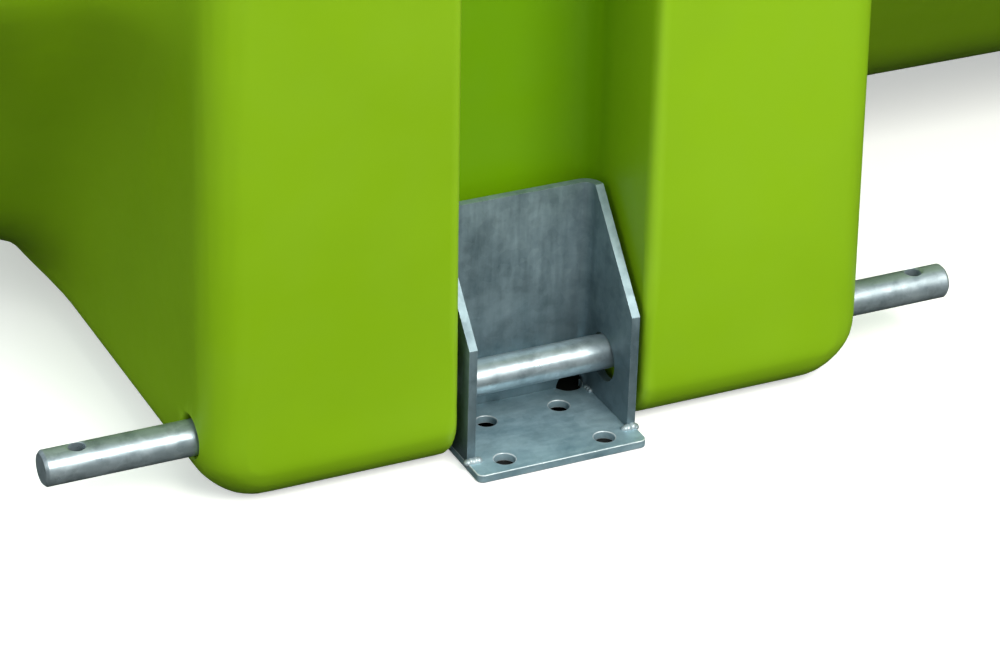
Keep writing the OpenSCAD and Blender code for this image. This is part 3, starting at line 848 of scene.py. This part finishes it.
@dataclass
class Tank:
    """The moulded tank with its two saddle feet, lugs, wells and bores."""

    length: float = 1.880
    width: float = 0.690
    height: float = 1.000
    keel_z: float = 0.060
    keel_half: float = 0.030
    keel_r: float = 0.170
    flank: float = 54.0
    bilge_r: float = 0.150
    bilge_z: float = 0.4231
    deck_r: float = 0.060
    corner_r: float = 0.090
    end_r: float = 0.150
    foot_x: float = 0.500
    foot_w: float = 0.500
    foot_d: float = 0.830
    foot_r: float = 0.032
    sole_r: float = 0.038
    sill_r: float = 0.045
    foot_top: float = 0.6406
    shoulder_z: float = 0.540
    shoulder_r: float = 0.060
    shoulder_a: float = 50.0
    draft: float = math.tan(math.radians(0.9))
    slot_half: float = 0.0695
    slot_draft: float = math.tan(math.radians(0.2))
    slot_back: float = 0.315
    slot_r: float = 0.022
    slot_edge: float = 0.007
    blend: float = 0.060
    lug_x: float = 1.000
    lug_r: float = 0.0449
    lug_h: float = 0.088
    lug_edge: float = 0.009
    tight_blend: float = 0.016
    rod_y: float = 0.375
    rod_z: float = 0.0475
    vent_x: float = 0.230
    socket_x: float = 0.720
    drain: Point = (0.274, -0.240, 0.084)
    reflector_z: float = 0.790
    recess: Point = (0.262, 0.005, 0.058)
    lug_low: dict[Side, tuple[float, float]] = field(
        default_factory=lambda: {Side.LEFT: (0.302, 0.642), Side.RIGHT: (0.396, 0.736)})

    def section(self) -> list[tuple[float, float]]:
        """Gives half the tank's outline across the barrier, closed at the middle."""
        half = self.width / 2
        return ([(-0.5, self.keel_z)]
                + arc(self.keel_half, self.keel_z + self.keel_r, self.keel_r, 270, 270 + self.flank)
                + arc(half - self.bilge_r, self.bilge_z, self.bilge_r, 270 + self.flank, 360)
                + arc(half - self.deck_r, self.height - self.deck_r, self.deck_r, 0, 90)
                + [(-0.5, self.height)])

    def foot_section(self) -> list[tuple[float, float]]:
        """Gives half a foot's outline across the barrier, closed at the middle."""
        half = self.foot_d / 2
        y = half - self.shoulder_z * self.draft - self.shoulder_r
        shoulder = arc(y, self.shoulder_z, self.shoulder_r, 0, self.shoulder_a)
        u, v = shoulder[-1]
        run = math.tan(math.radians(self.shoulder_a))
        return ([(-0.5, 0.0)] + arc(half - self.sole_r, self.sole_r, self.sole_r, 270, 360) + shoulder
                + [(u - (self.foot_top - v) * run, self.foot_top), (-0.5, self.foot_top)])

    def shape(self, x: np.ndarray, y: np.ndarray, z: np.ndarray) -> np.ndarray:
        """Measures the whole moulding's field at the points given."""
        ax, ay = np.abs(x), np.abs(y)
        end_r = (self.corner_r + (self.end_r - self.corner_r) * ease(z, 0.42, 0.2)
                 + (self.deck_r - self.corner_r) * ease(z, 0.86, 0.95))
        hull = round_meet(outline_field(self.section(), ay, z), ax - self.length / 2, end_r)
        foot = outline_field(self.foot_section(), ay, z)
        side = np.abs(ax - self.foot_x) - (self.foot_w / 2 - z * self.draft)
        foot = round_meet(foot, side, self.sill_r + (self.foot_r - self.sill_r) * ease(z, 0.01, 0.05))
        across = np.abs(ax - self.foot_x) - (self.slot_half + z * self.slot_draft)
        slot = round_meet(across, self.slot_back - ay, self.slot_r)
        foot = round_meet(foot, -slot, self.slot_edge)
        fillet = self.blend + (self.tight_blend - self.blend) * ease(slot, 0.05, 0.0)
        whole = round_join(hull, foot, fillet)
        plan = np.hypot(np.maximum(ax - self.lug_x, 0), y) - self.lug_r
        lugs = np.inf
        for side_of, lows in self.lug_low.items():
            for low in lows:
                tall = np.abs(z - low - self.lug_h / 2) - self.lug_h / 2
                one = round_meet(plan, tall, self.lug_edge)
                lugs = np.minimum(lugs, np.where(np.sign(x) == side_of.value, one, 1.0))
        return round_join(whole, lugs, self.tight_blend)

    def grid(self) -> tuple[np.ndarray, np.ndarray, np.ndarray]:
        """Lays the grid lines: close at edges and rounds, wide on flat walls."""
        fine = 0.0055
        xs = [(s * (self.foot_x + o), 0.012, fine) for s in (-1, 1) for o in (-0.232, 0.232)]
        xs += [(s * (self.foot_x + o), 0.006, 0.004) for s in (-1, 1) for o in (-0.0735, 0.0735)]
        xs += [(s * 0.95, 0.012, 0.008) for s in (-1, 1)] + [(s * 1.03, 0.018, 0.006) for s in (-1, 1)]
        ys = [(s * 0.400, 0.014, 0.005) for s in (-1, 1)] + [(s * 0.323, 0.010, 0.0065) for s in (-1, 1)]
        ys += [(s * 0.036, 0.012, 0.007) for s in (-1, 1)]
        zs = [(0.012, 0.022, fine), (0.97, 0.03, 0.010), (0.58, 0.03, 0.012)]
        for lows in self.lug_low.values():
            zs += [(z, 0.008, 0.006) for low in lows for z in (low, low + self.lug_h)]
        coarse = 0.0165
        return (graded(-1.06, 1.06, coarse, xs), graded(-0.43, 0.43, coarse, ys),
                graded(-0.02, 1.02, coarse, zs))

    def cutters(self) -> list[bmesh.types.BMesh]:
        """Makes every hole and well of the moulding as a closed shape."""
        tools = []
        # Half the rod's bore, from the slot outwards, with a lip at either mouth.
        bore = [(0.019, 0.066), (0.0175, 0.0710), (0.0148, 0.0730), (0.014, 0.0760),
                (0.014, 0.2445), (0.0148, 0.2475), (0.0175, 0.2495), (0.0205, 0.262), (0, 0.262)]
        for face, side in CORNERS:
            middle = Matrix.Translation((side.value * self.foot_x, face.value * self.rod_y, self.rod_z))
            bar = lathe([(r, -h) for r, h in reversed(bore)] + bore, 40)
            tools.append(placed(bar, middle @ Matrix.Rotation(math.pi / 2, 4, "Y")))
        well = rounded([(0, 0.952), (0.130, 0.952), (0.130, 1.0005), (0.150, 1.0005), (0.150, 1.03), (0, 1.03)],
                       [0, 0.008, 0.012, 0, 0, 0], 5)
        hole = [(0, 0.87), (0.0822, 0.87), (0.0822, 0.952)]
        tools.append(lathe(hole + well[1:], 96))
        vent = rounded([(0.0142, 0.986), (0.032, 0.986), (0.032, 1.0004), (0.042, 1.0004), (0.042, 1.02), (0, 1.02)],
                       [0, 0.004, 0.005, 0, 0, 0])
        tools.append(placed(lathe([(0, 0.94), (0.0142, 0.94)] + vent, 48), Matrix.Translation((self.vent_x, 0, 0))))
        for side in Side:
            socket = rounded([(0, 0.85), (0.031, 0.85), (0.031, 1.0004), (0.042, 1.0004), (0.042, 1.02), (0, 1.02)],
                             [0, 0.006, 0.006, 0, 0, 0])
            tools.append(placed(lathe(socket, 48), Matrix.Translation((side.value * self.socket_x, 0, 0))))
            turn = Matrix.Rotation(-side.value * math.pi / 2, 4, "Y")
            drain = rounded([(0.0224, 0.0), (0.040, 0.0), (0.040, 0.0262), (0.052, 0.0262), (0.052, 0.04), (0, 0.04)],
                            [0, 0.005, 0.006, 0, 0, 0])
            place = Matrix.Translation((side.value * self.drain[0], *self.drain[1:])) @ turn
            tools.append(placed(lathe([(0, -0.05), (0.0224, -0.05)] + drain, 48), place))
            pin = lathe([(0, 0.28), (0.0155, 0.28), (0.0155, 0.84), (0, 0.84)], 48)
            tools.append(placed(pin, Matrix.Translation((side.value * self.lug_x, 0, 0))))
            for face in Face:
                seat = (side.value * self.foot_x, face.value * self.width / 2, self.reflector_z)
                tools.append(block(self.recess, seat, 0.0012, 1))
        return tools

    def paint_slot_shade(self, mesh: bpy.types.Mesh) -> None:
        """Marks the backs of the slots from 0 to 1, where a darker green is painted as shade."""
        place = np.empty(3 * len(mesh.vertices))
        mesh.vertices.foreach_get("co", place)
        ax, ay, z = np.abs(place.reshape(-1, 3)).T
        shelter = (ease(ay, 0.350, 0.322) * ease(ay, 0.285, 0.300) * ease(z, 0.60, 0.46)
                   * ease(np.abs(ax - self.foot_x), 0.082, 0.066))
        mesh.attributes.new("shelter", "FLOAT", "POINT").data.foreach_set("value", shelter)

    def build(self) -> bpy.types.Object:
        """Draws the moulding, cuts its holes and dresses it."""
        points, quads = net(self.shape, *self.grid())
        points = settle(self.shape, points)
        mesh = bpy.data.meshes.new("tank_moulding")
        mesh.from_pydata(points.tolist(), [], quads.tolist())
        mesh.validate()
        mesh.materials.append(Finish.SKIN.material())
        piece = new_object("tank_moulding", mesh)
        cut(piece, self.cutters())
        smooth(piece, 40)
        # Paints shade into the backs of the slots as a colour attribute.
        self.paint_slot_shade(piece.data)
        LOG.info("tank moulding: %d faces", len(piece.data.polygons))
        return stand_for(piece, "body_shell")


@dataclass
class Studio:
    """The floor, the soft lights and the camera."""

    lens: float = 130.0
    eye: Point = (-1.4717, -2.3156, 1.2658)
    yaw: float = 0.455
    pitch: float = 0.503
    roll: float = 0.029
    lamp_colour: Point = (1.0, 0.965, 0.88)
    sky_diffuse: float = 1.25
    sky_glossy: float = 0.38
    slot_floor: tuple[float, float] = (0.139, 0.078)
    slot_middle: float = 0.339

    def floor(self) -> None:
        """Lays the pale floor just under the barrier, shaded below the brackets."""
        shape = bmesh.new()
        bmesh.ops.create_grid(shape, x_segments=2, y_segments=2, size=9.0)
        floor = from_bmesh("studio_floor", placed(shape, Matrix.Translation((0, 0, -0.0004))), Finish.FLOOR)
        thin, inset = 0.0001, 0.012
        for face, side in CORNERS:
            low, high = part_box(corner_name("anchor_base", face, side))
            x, y = (low.x + high.x) / 2, (low.y + high.y) / 2
            under = block((high.x - low.x - inset, high.y - low.y - inset, thin), (x, y, thin))
            behind = block((*self.slot_floor, thin), (x, face.value * self.slot_middle, thin))
            from_bmesh("shaded_ground", under, Finish.SHADE)
            from_bmesh("shaded_slot", behind, Finish.SHADE)

    def lamp(self, name: str, power: float, size: float, place: Point, target: Point) -> None:
        """Hangs one square soft light that faces a target."""
        data = bpy.data.lights.new(name, "AREA")
        data.energy, data.size, data.color = power, size, self.lamp_colour
        lamp = bpy.data.objects.new(name, data)
        lamp.matrix_world = (Matrix.Translation(place)
                             @ (Vector(target) - Vector(place)).to_track_quat("-Z", "Y").to_matrix().to_4x4())
        bpy.context.scene.collection.objects.link(lamp)

    def lights(self) -> None:
        """Sets a bright soft surround and three soft boxes."""
        world = bpy.data.worlds.new("soft_surround")
        world.use_nodes = True
        sky = world.node_tree.nodes["Background"]
        sky.inputs["Color"].default_value = linear("#e8f4f8")
        # A matt wall of light would haze the satin skin, so gloss sees less of it.
        ray = add(world.node_tree, "ShaderNodeLightPath")
        level = add(world.node_tree, "ShaderNodeMapRange", links={"Value": ray.outputs["Is Glossy Ray"]},
                    To_Min=self.sky_diffuse, To_Max=self.sky_glossy)
        world.node_tree.links.new(level.outputs["Result"], sky.inputs["Strength"])
        world.cycles.sampling_method = "NONE"
        bpy.context.scene.world = world
        self.lamp("key_box", 150, 2.2, (0.2, -3.2, 2.7), (-0.3, -0.3, 0.3))
        self.lamp("fill_box", 26, 2.2, (-3.5, -1.5, 1.8), (-0.4, 0, 0.3))
        self.lamp("top_box", 18, 2.4, (0.2, 0.4, 3.6), (0, 0, 0.5))

    def camera(self) -> None:
        """Stands the camera at the view's place and makes it the scene's."""
        ahead = Vector((math.sin(self.yaw) * math.cos(self.pitch), math.cos(self.yaw) * math.cos(self.pitch),
                        -math.sin(self.pitch)))
        right = Vector((math.cos(self.yaw), -math.sin(self.yaw), 0))
        up = right.cross(ahead)
        across = right * math.cos(self.roll) + up * math.sin(self.roll)
        upward = up * math.cos(self.roll) - right * math.sin(self.roll)
        data = bpy.data.cameras.new("view_camera")
        data.lens, data.sensor_width, data.sensor_fit = self.lens, 36.0, "HORIZONTAL"
        data.clip_start, data.clip_end = 0.05, 60.0
        camera = bpy.data.objects.new("view_camera", data)
        turn = Matrix((across, upward, -ahead)).transposed().to_4x4()
        camera.matrix_world = Matrix.Translation(self.eye) @ turn
        bpy.context.scene.collection.objects.link(camera)
        bpy.context.scene.camera = camera

    def build(self) -> None:
        """Sets the whole studio."""
        self.floor()
        self.lights()
        self.camera()
        bpy.context.scene.view_settings.view_transform = "Standard"


@dataclass
class Bracket:
    """One anchor bracket: its base plate, its folded channel and its welds."""

    face: Face
    side: Side
    edge_mm: float = 1.1
    half: float = 0.064
    plate: float = 0.006
    bead_r: float = 0.0034

    def place(self) -> Matrix:
        """Gives the bracket's own frame: on the ground under the rod, -Y out."""
        low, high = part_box(corner_name("anchor_base", self.face, self.side))
        middle = Matrix.Translation(((low.x + high.x) / 2, self.face.value * Tank.rod_y, 0))
        return middle @ Matrix.Rotation(math.pi if self.face is Face.REAR else 0, 4, "Z")

    def plates(self) -> None:
        """Rounds the sheared edges of the base plate and the channel."""
        for stem, finish in (("anchor_base", Finish.BASE), ("anchor_channel", Finish.PLATE)):
            softened(corner_name(stem, self.face, self.side), self.edge_mm, finish, segments=3, edge=Finish.EDGE)

    def welds(self) -> None:
        """Lays the four rippled beads in the corners of the plates."""
        shapes = []
        for s in (-1, 1):
            shapes.append(((s * 0.0635, -0.0405, self.plate), (s * 0.0562, -0.0412, self.plate), 5, self.bead_r))
            shapes.append(((s * 0.0572, 0.0155, self.plate), (s * 0.0572, 0.0210, self.plate), 3, 0.0024))
        name = corner_name("anchor_welds", self.face, self.side)
        parts = []
        for i, (start, end, ripples, size) in enumerate(shapes):
            parts.append(grown(f"{name}_{i}", ripple_tree(), {
                "Start": start, "End": end, "Ripples": ripples, "Size": size, "Seed": 7 * i + 3}, Finish.BEAD))
        bead = merged(name + "_ripples", parts, self.place())
        smooth(bead, 180, weighted=False)
        stand_for(bead, name)

    def build(self) -> None:
        """Builds the bracket."""
        self.plates()
        self.welds()


@dataclass
class Rod:
    """One anchor rod, sawn and chamfered, with a cross hole near each end."""

    face: Face
    side: Side
    radius: float = 0.0125
    hole_r: float = 0.00575
    hole_inset: float = 0.025
    cone_r: float = 0.0086
    chamfer: float = 0.002

    def build(self) -> bpy.types.Object:
        """Turns the bar, drills its holes and dresses it."""
        name = corner_name("anchor_rod", self.face, self.side)
        low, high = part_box(name)
        half = (high.x - low.x) / 2
        ends = rounded([(0, -half), (self.radius - self.chamfer, -half), (self.radius, -half + self.chamfer),
                        (self.radius, half - self.chamfer), (self.radius - self.chamfer, half), (0, half)],
                       [0, 0.0006, 0.0012, 0.0012, 0.0006, 0], 3)
        middle = Matrix.Translation((low + high) / 2)
        bar = from_bmesh(name + "_bar", placed(lathe(ends, 72), middle @ Matrix.Rotation(math.pi / 2, 4, "Y")),
                         Finish.BAR)
        drill = rounded([(0, -0.02), (self.cone_r, -0.02), (self.cone_r, -0.0124), (self.hole_r, -0.0112),
                         (self.hole_r, 0.0112), (self.cone_r, 0.0124), (self.cone_r, 0.02), (0, 0.02)],
                        [0, 0, 0, 0.0008, 0.0008, 0, 0, 0], 3)
        cut(bar, [placed(lathe(drill, 40), middle @ Matrix.Translation((s * (half - self.hole_inset), 0, 0)))
                  for s in (-1, 1)])
        smooth(bar, 32)
        return stand_for(bar, name)


def ripple_tree() -> bpy.types.NodeTree:
    """Gives the tree that lays a weld bead as overlapping ripples on a line."""
    if "weld_ripples" in bpy.data.node_groups:
        return bpy.data.node_groups["weld_ripples"]
    tree = new_tree("weld_ripples", {"Start": "Vector", "End": "Vector", "Ripples": "Int", "Size": "Float",
                                     "Seed": "Int"})
    given = add(tree, "NodeGroupInput")
    line = add(tree, "GeometryNodeMeshLine", {"mode": "END_POINTS"},
               {"Start Location": given.outputs["Start"], "Offset": given.outputs["End"],
                "Count": given.outputs["Ripples"]})
    drop = add(tree, "GeometryNodeMeshUVSphere", links={"Radius": given.outputs["Size"]},
               Segments=14, Rings=9)
    size = add(tree, "FunctionNodeRandomValue", {"data_type": "FLOAT_VECTOR"}, {"Seed": given.outputs["Seed"]})
    size.inputs["Min"].default_value, size.inputs["Max"].default_value = (0.75, 0.8, 0.7), (1.15, 1.1, 1.1)
    spots = add(tree, "GeometryNodeInstanceOnPoints",
                links={"Points": line.outputs["Mesh"], "Instance": drop.outputs["Mesh"],
                       "Scale": size.outputs["Value"]})
    return closed_tree(tree, spots.outputs["Instances"], Finish.BEAD)


def new_tree(name: str, inputs: dict[str, str]) -> bpy.types.NodeTree:
    """Makes an empty geometry tree with named inputs.

    Args:
        name: the tree's name.
        inputs: each input's name and type.

    Returns:
        The tree.
    """
    tree = bpy.data.node_groups.new(name, "GeometryNodeTree")
    for label, kind in inputs.items():
        tree.interface.new_socket(label, in_out="INPUT", socket_type=f"NodeSocket{kind}")
    tree.interface.new_socket("Geometry", in_out="OUTPUT", socket_type="NodeSocketGeometry")
    return tree


def closed_tree(tree: bpy.types.NodeTree, made: bpy.types.NodeSocket, finish: Finish) -> bpy.types.NodeTree:
    """Ends a geometry tree: its instances made real, smooth and dressed."""
    real = add(tree, "GeometryNodeRealizeInstances", links={"Geometry": made})
    shaded = add(tree, "GeometryNodeSetShadeSmooth", links={"Geometry": real.outputs["Geometry"]})
    dressed = add(tree, "GeometryNodeSetMaterial", links={"Geometry": shaded.outputs["Geometry"]})
    dressed.inputs["Material"].default_value = finish.material()
    add(tree, "NodeGroupOutput", links={"Geometry": dressed.outputs["Geometry"]})
    return tree


def merged(name: str, parts: Sequence[bpy.types.Object], place: Matrix) -> bpy.types.Object:
    """Joins plain objects of one finish into one, in place, and removes them.

    Args:
        name: the new object's name.
        parts: the objects.
        place: the frame in which their meshes were made.

    Returns:
        The joined object.
    """
    shape, materials = bmesh.new(), list(parts[0].data.materials)
    for part in parts:
        shape.from_mesh(part.data)
        bpy.data.objects.remove(part)
    piece = from_bmesh(name, placed(shape, place))
    for material in materials:
        piece.data.materials.append(material)
    return piece


@dataclass
class Filler:
    """The filler's neck, gasket and cap, with ribs round the cap's skirt."""

    ribs: int = 84
    skirt_r: float = 0.0916
    skirt_low: float = 0.960
    skirt_high: float = 0.990

    def ribbed(self) -> bpy.types.NodeTree:
        """Gives the tree that stands fine upright ribs round a circle."""
        tree = new_tree("cap_ribs", {"Ribs": "Int", "Radius": "Float", "Height": "Float", "Middle": "Float"})
        given = add(tree, "NodeGroupInput")
        ring = add(tree, "GeometryNodeMeshCircle", links={"Vertices": given.outputs["Ribs"],
                                                        "Radius": given.outputs["Radius"]})
        rib = add(tree, "GeometryNodeMeshCylinder", links={"Depth": given.outputs["Height"]},
                  Vertices=8, Radius=0.0009)
        stood = add(tree, "GeometryNodeInstanceOnPoints",
                    links={"Points": ring.outputs["Mesh"], "Instance": rib.outputs["Mesh"]})
        up = add(tree, "ShaderNodeCombineXYZ", links={"Z": given.outputs["Middle"]})
        moved = add(tree, "GeometryNodeTransform", links={"Geometry": stood.outputs["Instances"],
                                                          "Translation": up.outputs["Vector"]})
        return closed_tree(tree, moved.outputs["Geometry"], Finish.BLACK)

    def build(self) -> None:
        """Builds the filler's three pieces."""
        softened("fill_neck", 1.0, Finish.BLACK)
        softened("fill_gasket", 0.5, Finish.RUBBER)
        cap = softened("fill_cap", 1.4, Finish.BLACK, segments=3)
        ribs = grown("fill_cap_ribs", self.ribbed(), {
            "Ribs": self.ribs, "Radius": self.skirt_r, "Height": self.skirt_high - self.skirt_low,
            "Middle": (self.skirt_high + self.skirt_low) / 2}, Finish.BLACK)
        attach(ribs, cap["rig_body"])


@dataclass
class Fittings:
    """The vent, the two drains and the coupling pin with its cross bar."""

    def vent(self) -> None:
        """Builds the vent's grommet and plug."""
        softened("vent_grommet", 0.6, Finish.RUBBER)
        softened("vent_plug", 0.8, Finish.BLACK)

    def drain(self, side: Side) -> None:
        """Builds the bush, the seal and the plug of one drain."""
        name = side.name.lower()
        softened(f"drain_bush_{name}", 0.5, Finish.BRASS)
        softened(f"drain_seal_{name}", 0.4, Finish.RUBBER)
        softened(f"drain_plug_{name}", 0.9, Finish.BLACK)

    def coupling(self) -> None:
        """Builds the pin and the bar through its head."""
        low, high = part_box("coupling_pin")
        x, y = (low.x + high.x) / 2, (low.y + high.y) / 2
        collar_z, collar_r = 0.824, 0.023
        outline = rounded([(0, low.z), (0.011, low.z), (0.015, low.z + 0.010), (0.015, collar_z),
                           (collar_r, collar_z), (collar_r, collar_z + 0.008), (0.015, collar_z + 0.008),
                           (0.015, high.z), (0, high.z)],
                          [0, 0.002, 0.003, 0, 0.0012, 0.0012, 0.0025, 0.0025, 0], 4)
        pin = from_bmesh("coupling_pin_bar", placed(lathe(outline, 64), Matrix.Translation((x, y, 0))), Finish.BAR)
        smooth(pin, 38)
        stand_for(pin, "coupling_pin")
        low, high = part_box("coupling_handle")
        radius, half = (high.x - low.x) / 2, (high.y - low.y) / 2
        bar = rounded([(0, -half), (radius, -half), (radius, half), (0, half)], [0, 0.003, 0.003, 0], 4)
        handle = from_bmesh("coupling_handle_bar", placed(
            lathe(bar, 40), Matrix.Translation((low + high) / 2) @ Matrix.Rotation(math.pi / 2, 4, "X")), Finish.BAR)
        smooth(handle, 50)
        stand_for(handle, "coupling_handle")

    def build(self) -> None:
        """Builds all of them."""
        self.vent()
        for side in Side:
            self.drain(side)
        self.coupling()


@dataclass
class Reflectors:
    """Four amber lenses with a plain rim, ribbed prisms and blind rivets."""

    rim: float = 0.004
    sunk: float = 0.0008
    rib_pitch: float = 0.004
    head_r: float = 0.0048
    rivet_pitch: float = 0.110

    def lens(self, face: Face, side: Side) -> None:
        """Moulds one lens: a rim round a sunk field of upright prisms."""
        name = corner_name("reflector", face, side)
        low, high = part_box(name)
        size, middle = high - low, (low + high) / 2
        shape = block(tuple(size), tuple(middle), 0.0008, 2)
        lens = from_bmesh(name + "_lens", shape, Finish.AMBER)
        out = low.y if face is Face.FRONT else high.y
        cut(lens, [block((size.x - 2 * self.rim, 2 * self.sunk, size.z - 2 * self.rim),
                         (middle.x, out, middle.z), 0.0003, 1)])
        smooth(lens, 30)
        stand_for(lens, name)
        ribs = grown(name + "_prisms", self.prisms(), {
            "Ribs": int((size.x - 2 * self.rim) / self.rib_pitch),
            "Start": (low.x + self.rim + self.rib_pitch / 2, out - face.value * self.sunk, middle.z),
            "Height": size.z - 2 * self.rim - 0.0006}, Finish.AMBER)
        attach(ribs, "root")

    def prisms(self) -> bpy.types.NodeTree:
        """Gives the tree that sets upright prism ribs side by side."""
        if "prism_ribs" in bpy.data.node_groups:
            return bpy.data.node_groups["prism_ribs"]
        tree = new_tree("prism_ribs", {"Ribs": "Int", "Start": "Vector", "Height": "Float"})
        given = add(tree, "NodeGroupInput")
        row = add(tree, "GeometryNodeMeshLine", {"mode": "OFFSET"},
                  {"Count": given.outputs["Ribs"], "Start Location": given.outputs["Start"]})
        row.inputs["Offset"].default_value = (self.rib_pitch, 0, 0)
        rib = add(tree, "GeometryNodeMeshCylinder", links={"Depth": given.outputs["Height"]},
                  Vertices=8, Radius=self.rib_pitch * 0.5)
        flat = add(tree, "GeometryNodeTransform", links={"Geometry": rib.outputs["Mesh"]}, Scale=(0.98, 0.3, 1.0))
        stood = add(tree, "GeometryNodeInstanceOnPoints",
                    links={"Points": row.outputs["Mesh"], "Instance": flat.outputs["Geometry"]})
        return closed_tree(tree, stood.outputs["Instances"], Finish.AMBER)

    def rivets(self) -> None:
        """Sets a domed head on every rivet of the four lenses."""
        tree = new_tree("rivet_heads", {"Span": "Float", "Pitch": "Float", "Out": "Float", "Height": "Float",
                                        "Head": "Float"})
        given = add(tree, "NodeGroupInput")
        heads = []
        for turn in (0.0, math.pi):
            for sign in (-1, 1):
                for end in (-1, 1):
                    x = scaled(tree, given.outputs["Span"], sign, scaled(tree, given.outputs["Pitch"], end))
                    spot = add(tree, "ShaderNodeCombineXYZ", links={"X": x, "Y": given.outputs["Out"],
                                                                 "Z": given.outputs["Height"]})
                    dome = add(tree, "GeometryNodeMeshUVSphere", links={"Radius": given.outputs["Head"]},
                               Segments=20, Rings=10)
                    flat = add(tree, "GeometryNodeTransform", links={"Geometry": dome.outputs["Mesh"],
                               "Translation": spot.outputs["Vector"]}, Scale=(1.0, 0.32, 1.0))
                    spun = add(tree, "GeometryNodeTransform", links={"Geometry": flat.outputs["Geometry"]},
                               Rotation=(0.0, 0.0, turn))
                    heads.append(spun.outputs["Geometry"])
        union = add(tree, "GeometryNodeJoinGeometry")
        for head in heads:
            tree.links.new(head, union.inputs["Geometry"])
        closed_tree(tree, union.outputs["Geometry"], Finish.ALUMINIUM)
        rivets = grown("reflector_rivet_heads", tree, {
            "Span": Tank.foot_x, "Pitch": self.rivet_pitch, "Out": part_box("reflector_front_left")[0].y,
            "Height": Tank.reflector_z, "Head": self.head_r}, Finish.ALUMINIUM)
        stand_for(rivets, "reflector_rivets")

    def build(self) -> None:
        """Builds the four reflectors and their rivets."""
        for face, side in CORNERS:
            self.lens(face, side)
        self.rivets()


def main() -> None:
    """Builds the barrier piece by piece, then the studio."""
    logging.basicConfig(level=logging.INFO, format="%(name)s: %(message)s")
    Tank().build()
    for face, side in CORNERS:
        Bracket(face, side).build()
        Rod(face, side).build()
        LOG.info("anchor set %s %s built", face.name.lower(), side.name.lower())
    Filler().build()
    LOG.info("filler built")
    Fittings().build()
    LOG.info("vent, drains and coupling built")
    Reflectors().build()
    LOG.info("reflectors built")
    Studio().build()


if __name__ == "__main__":
    main()
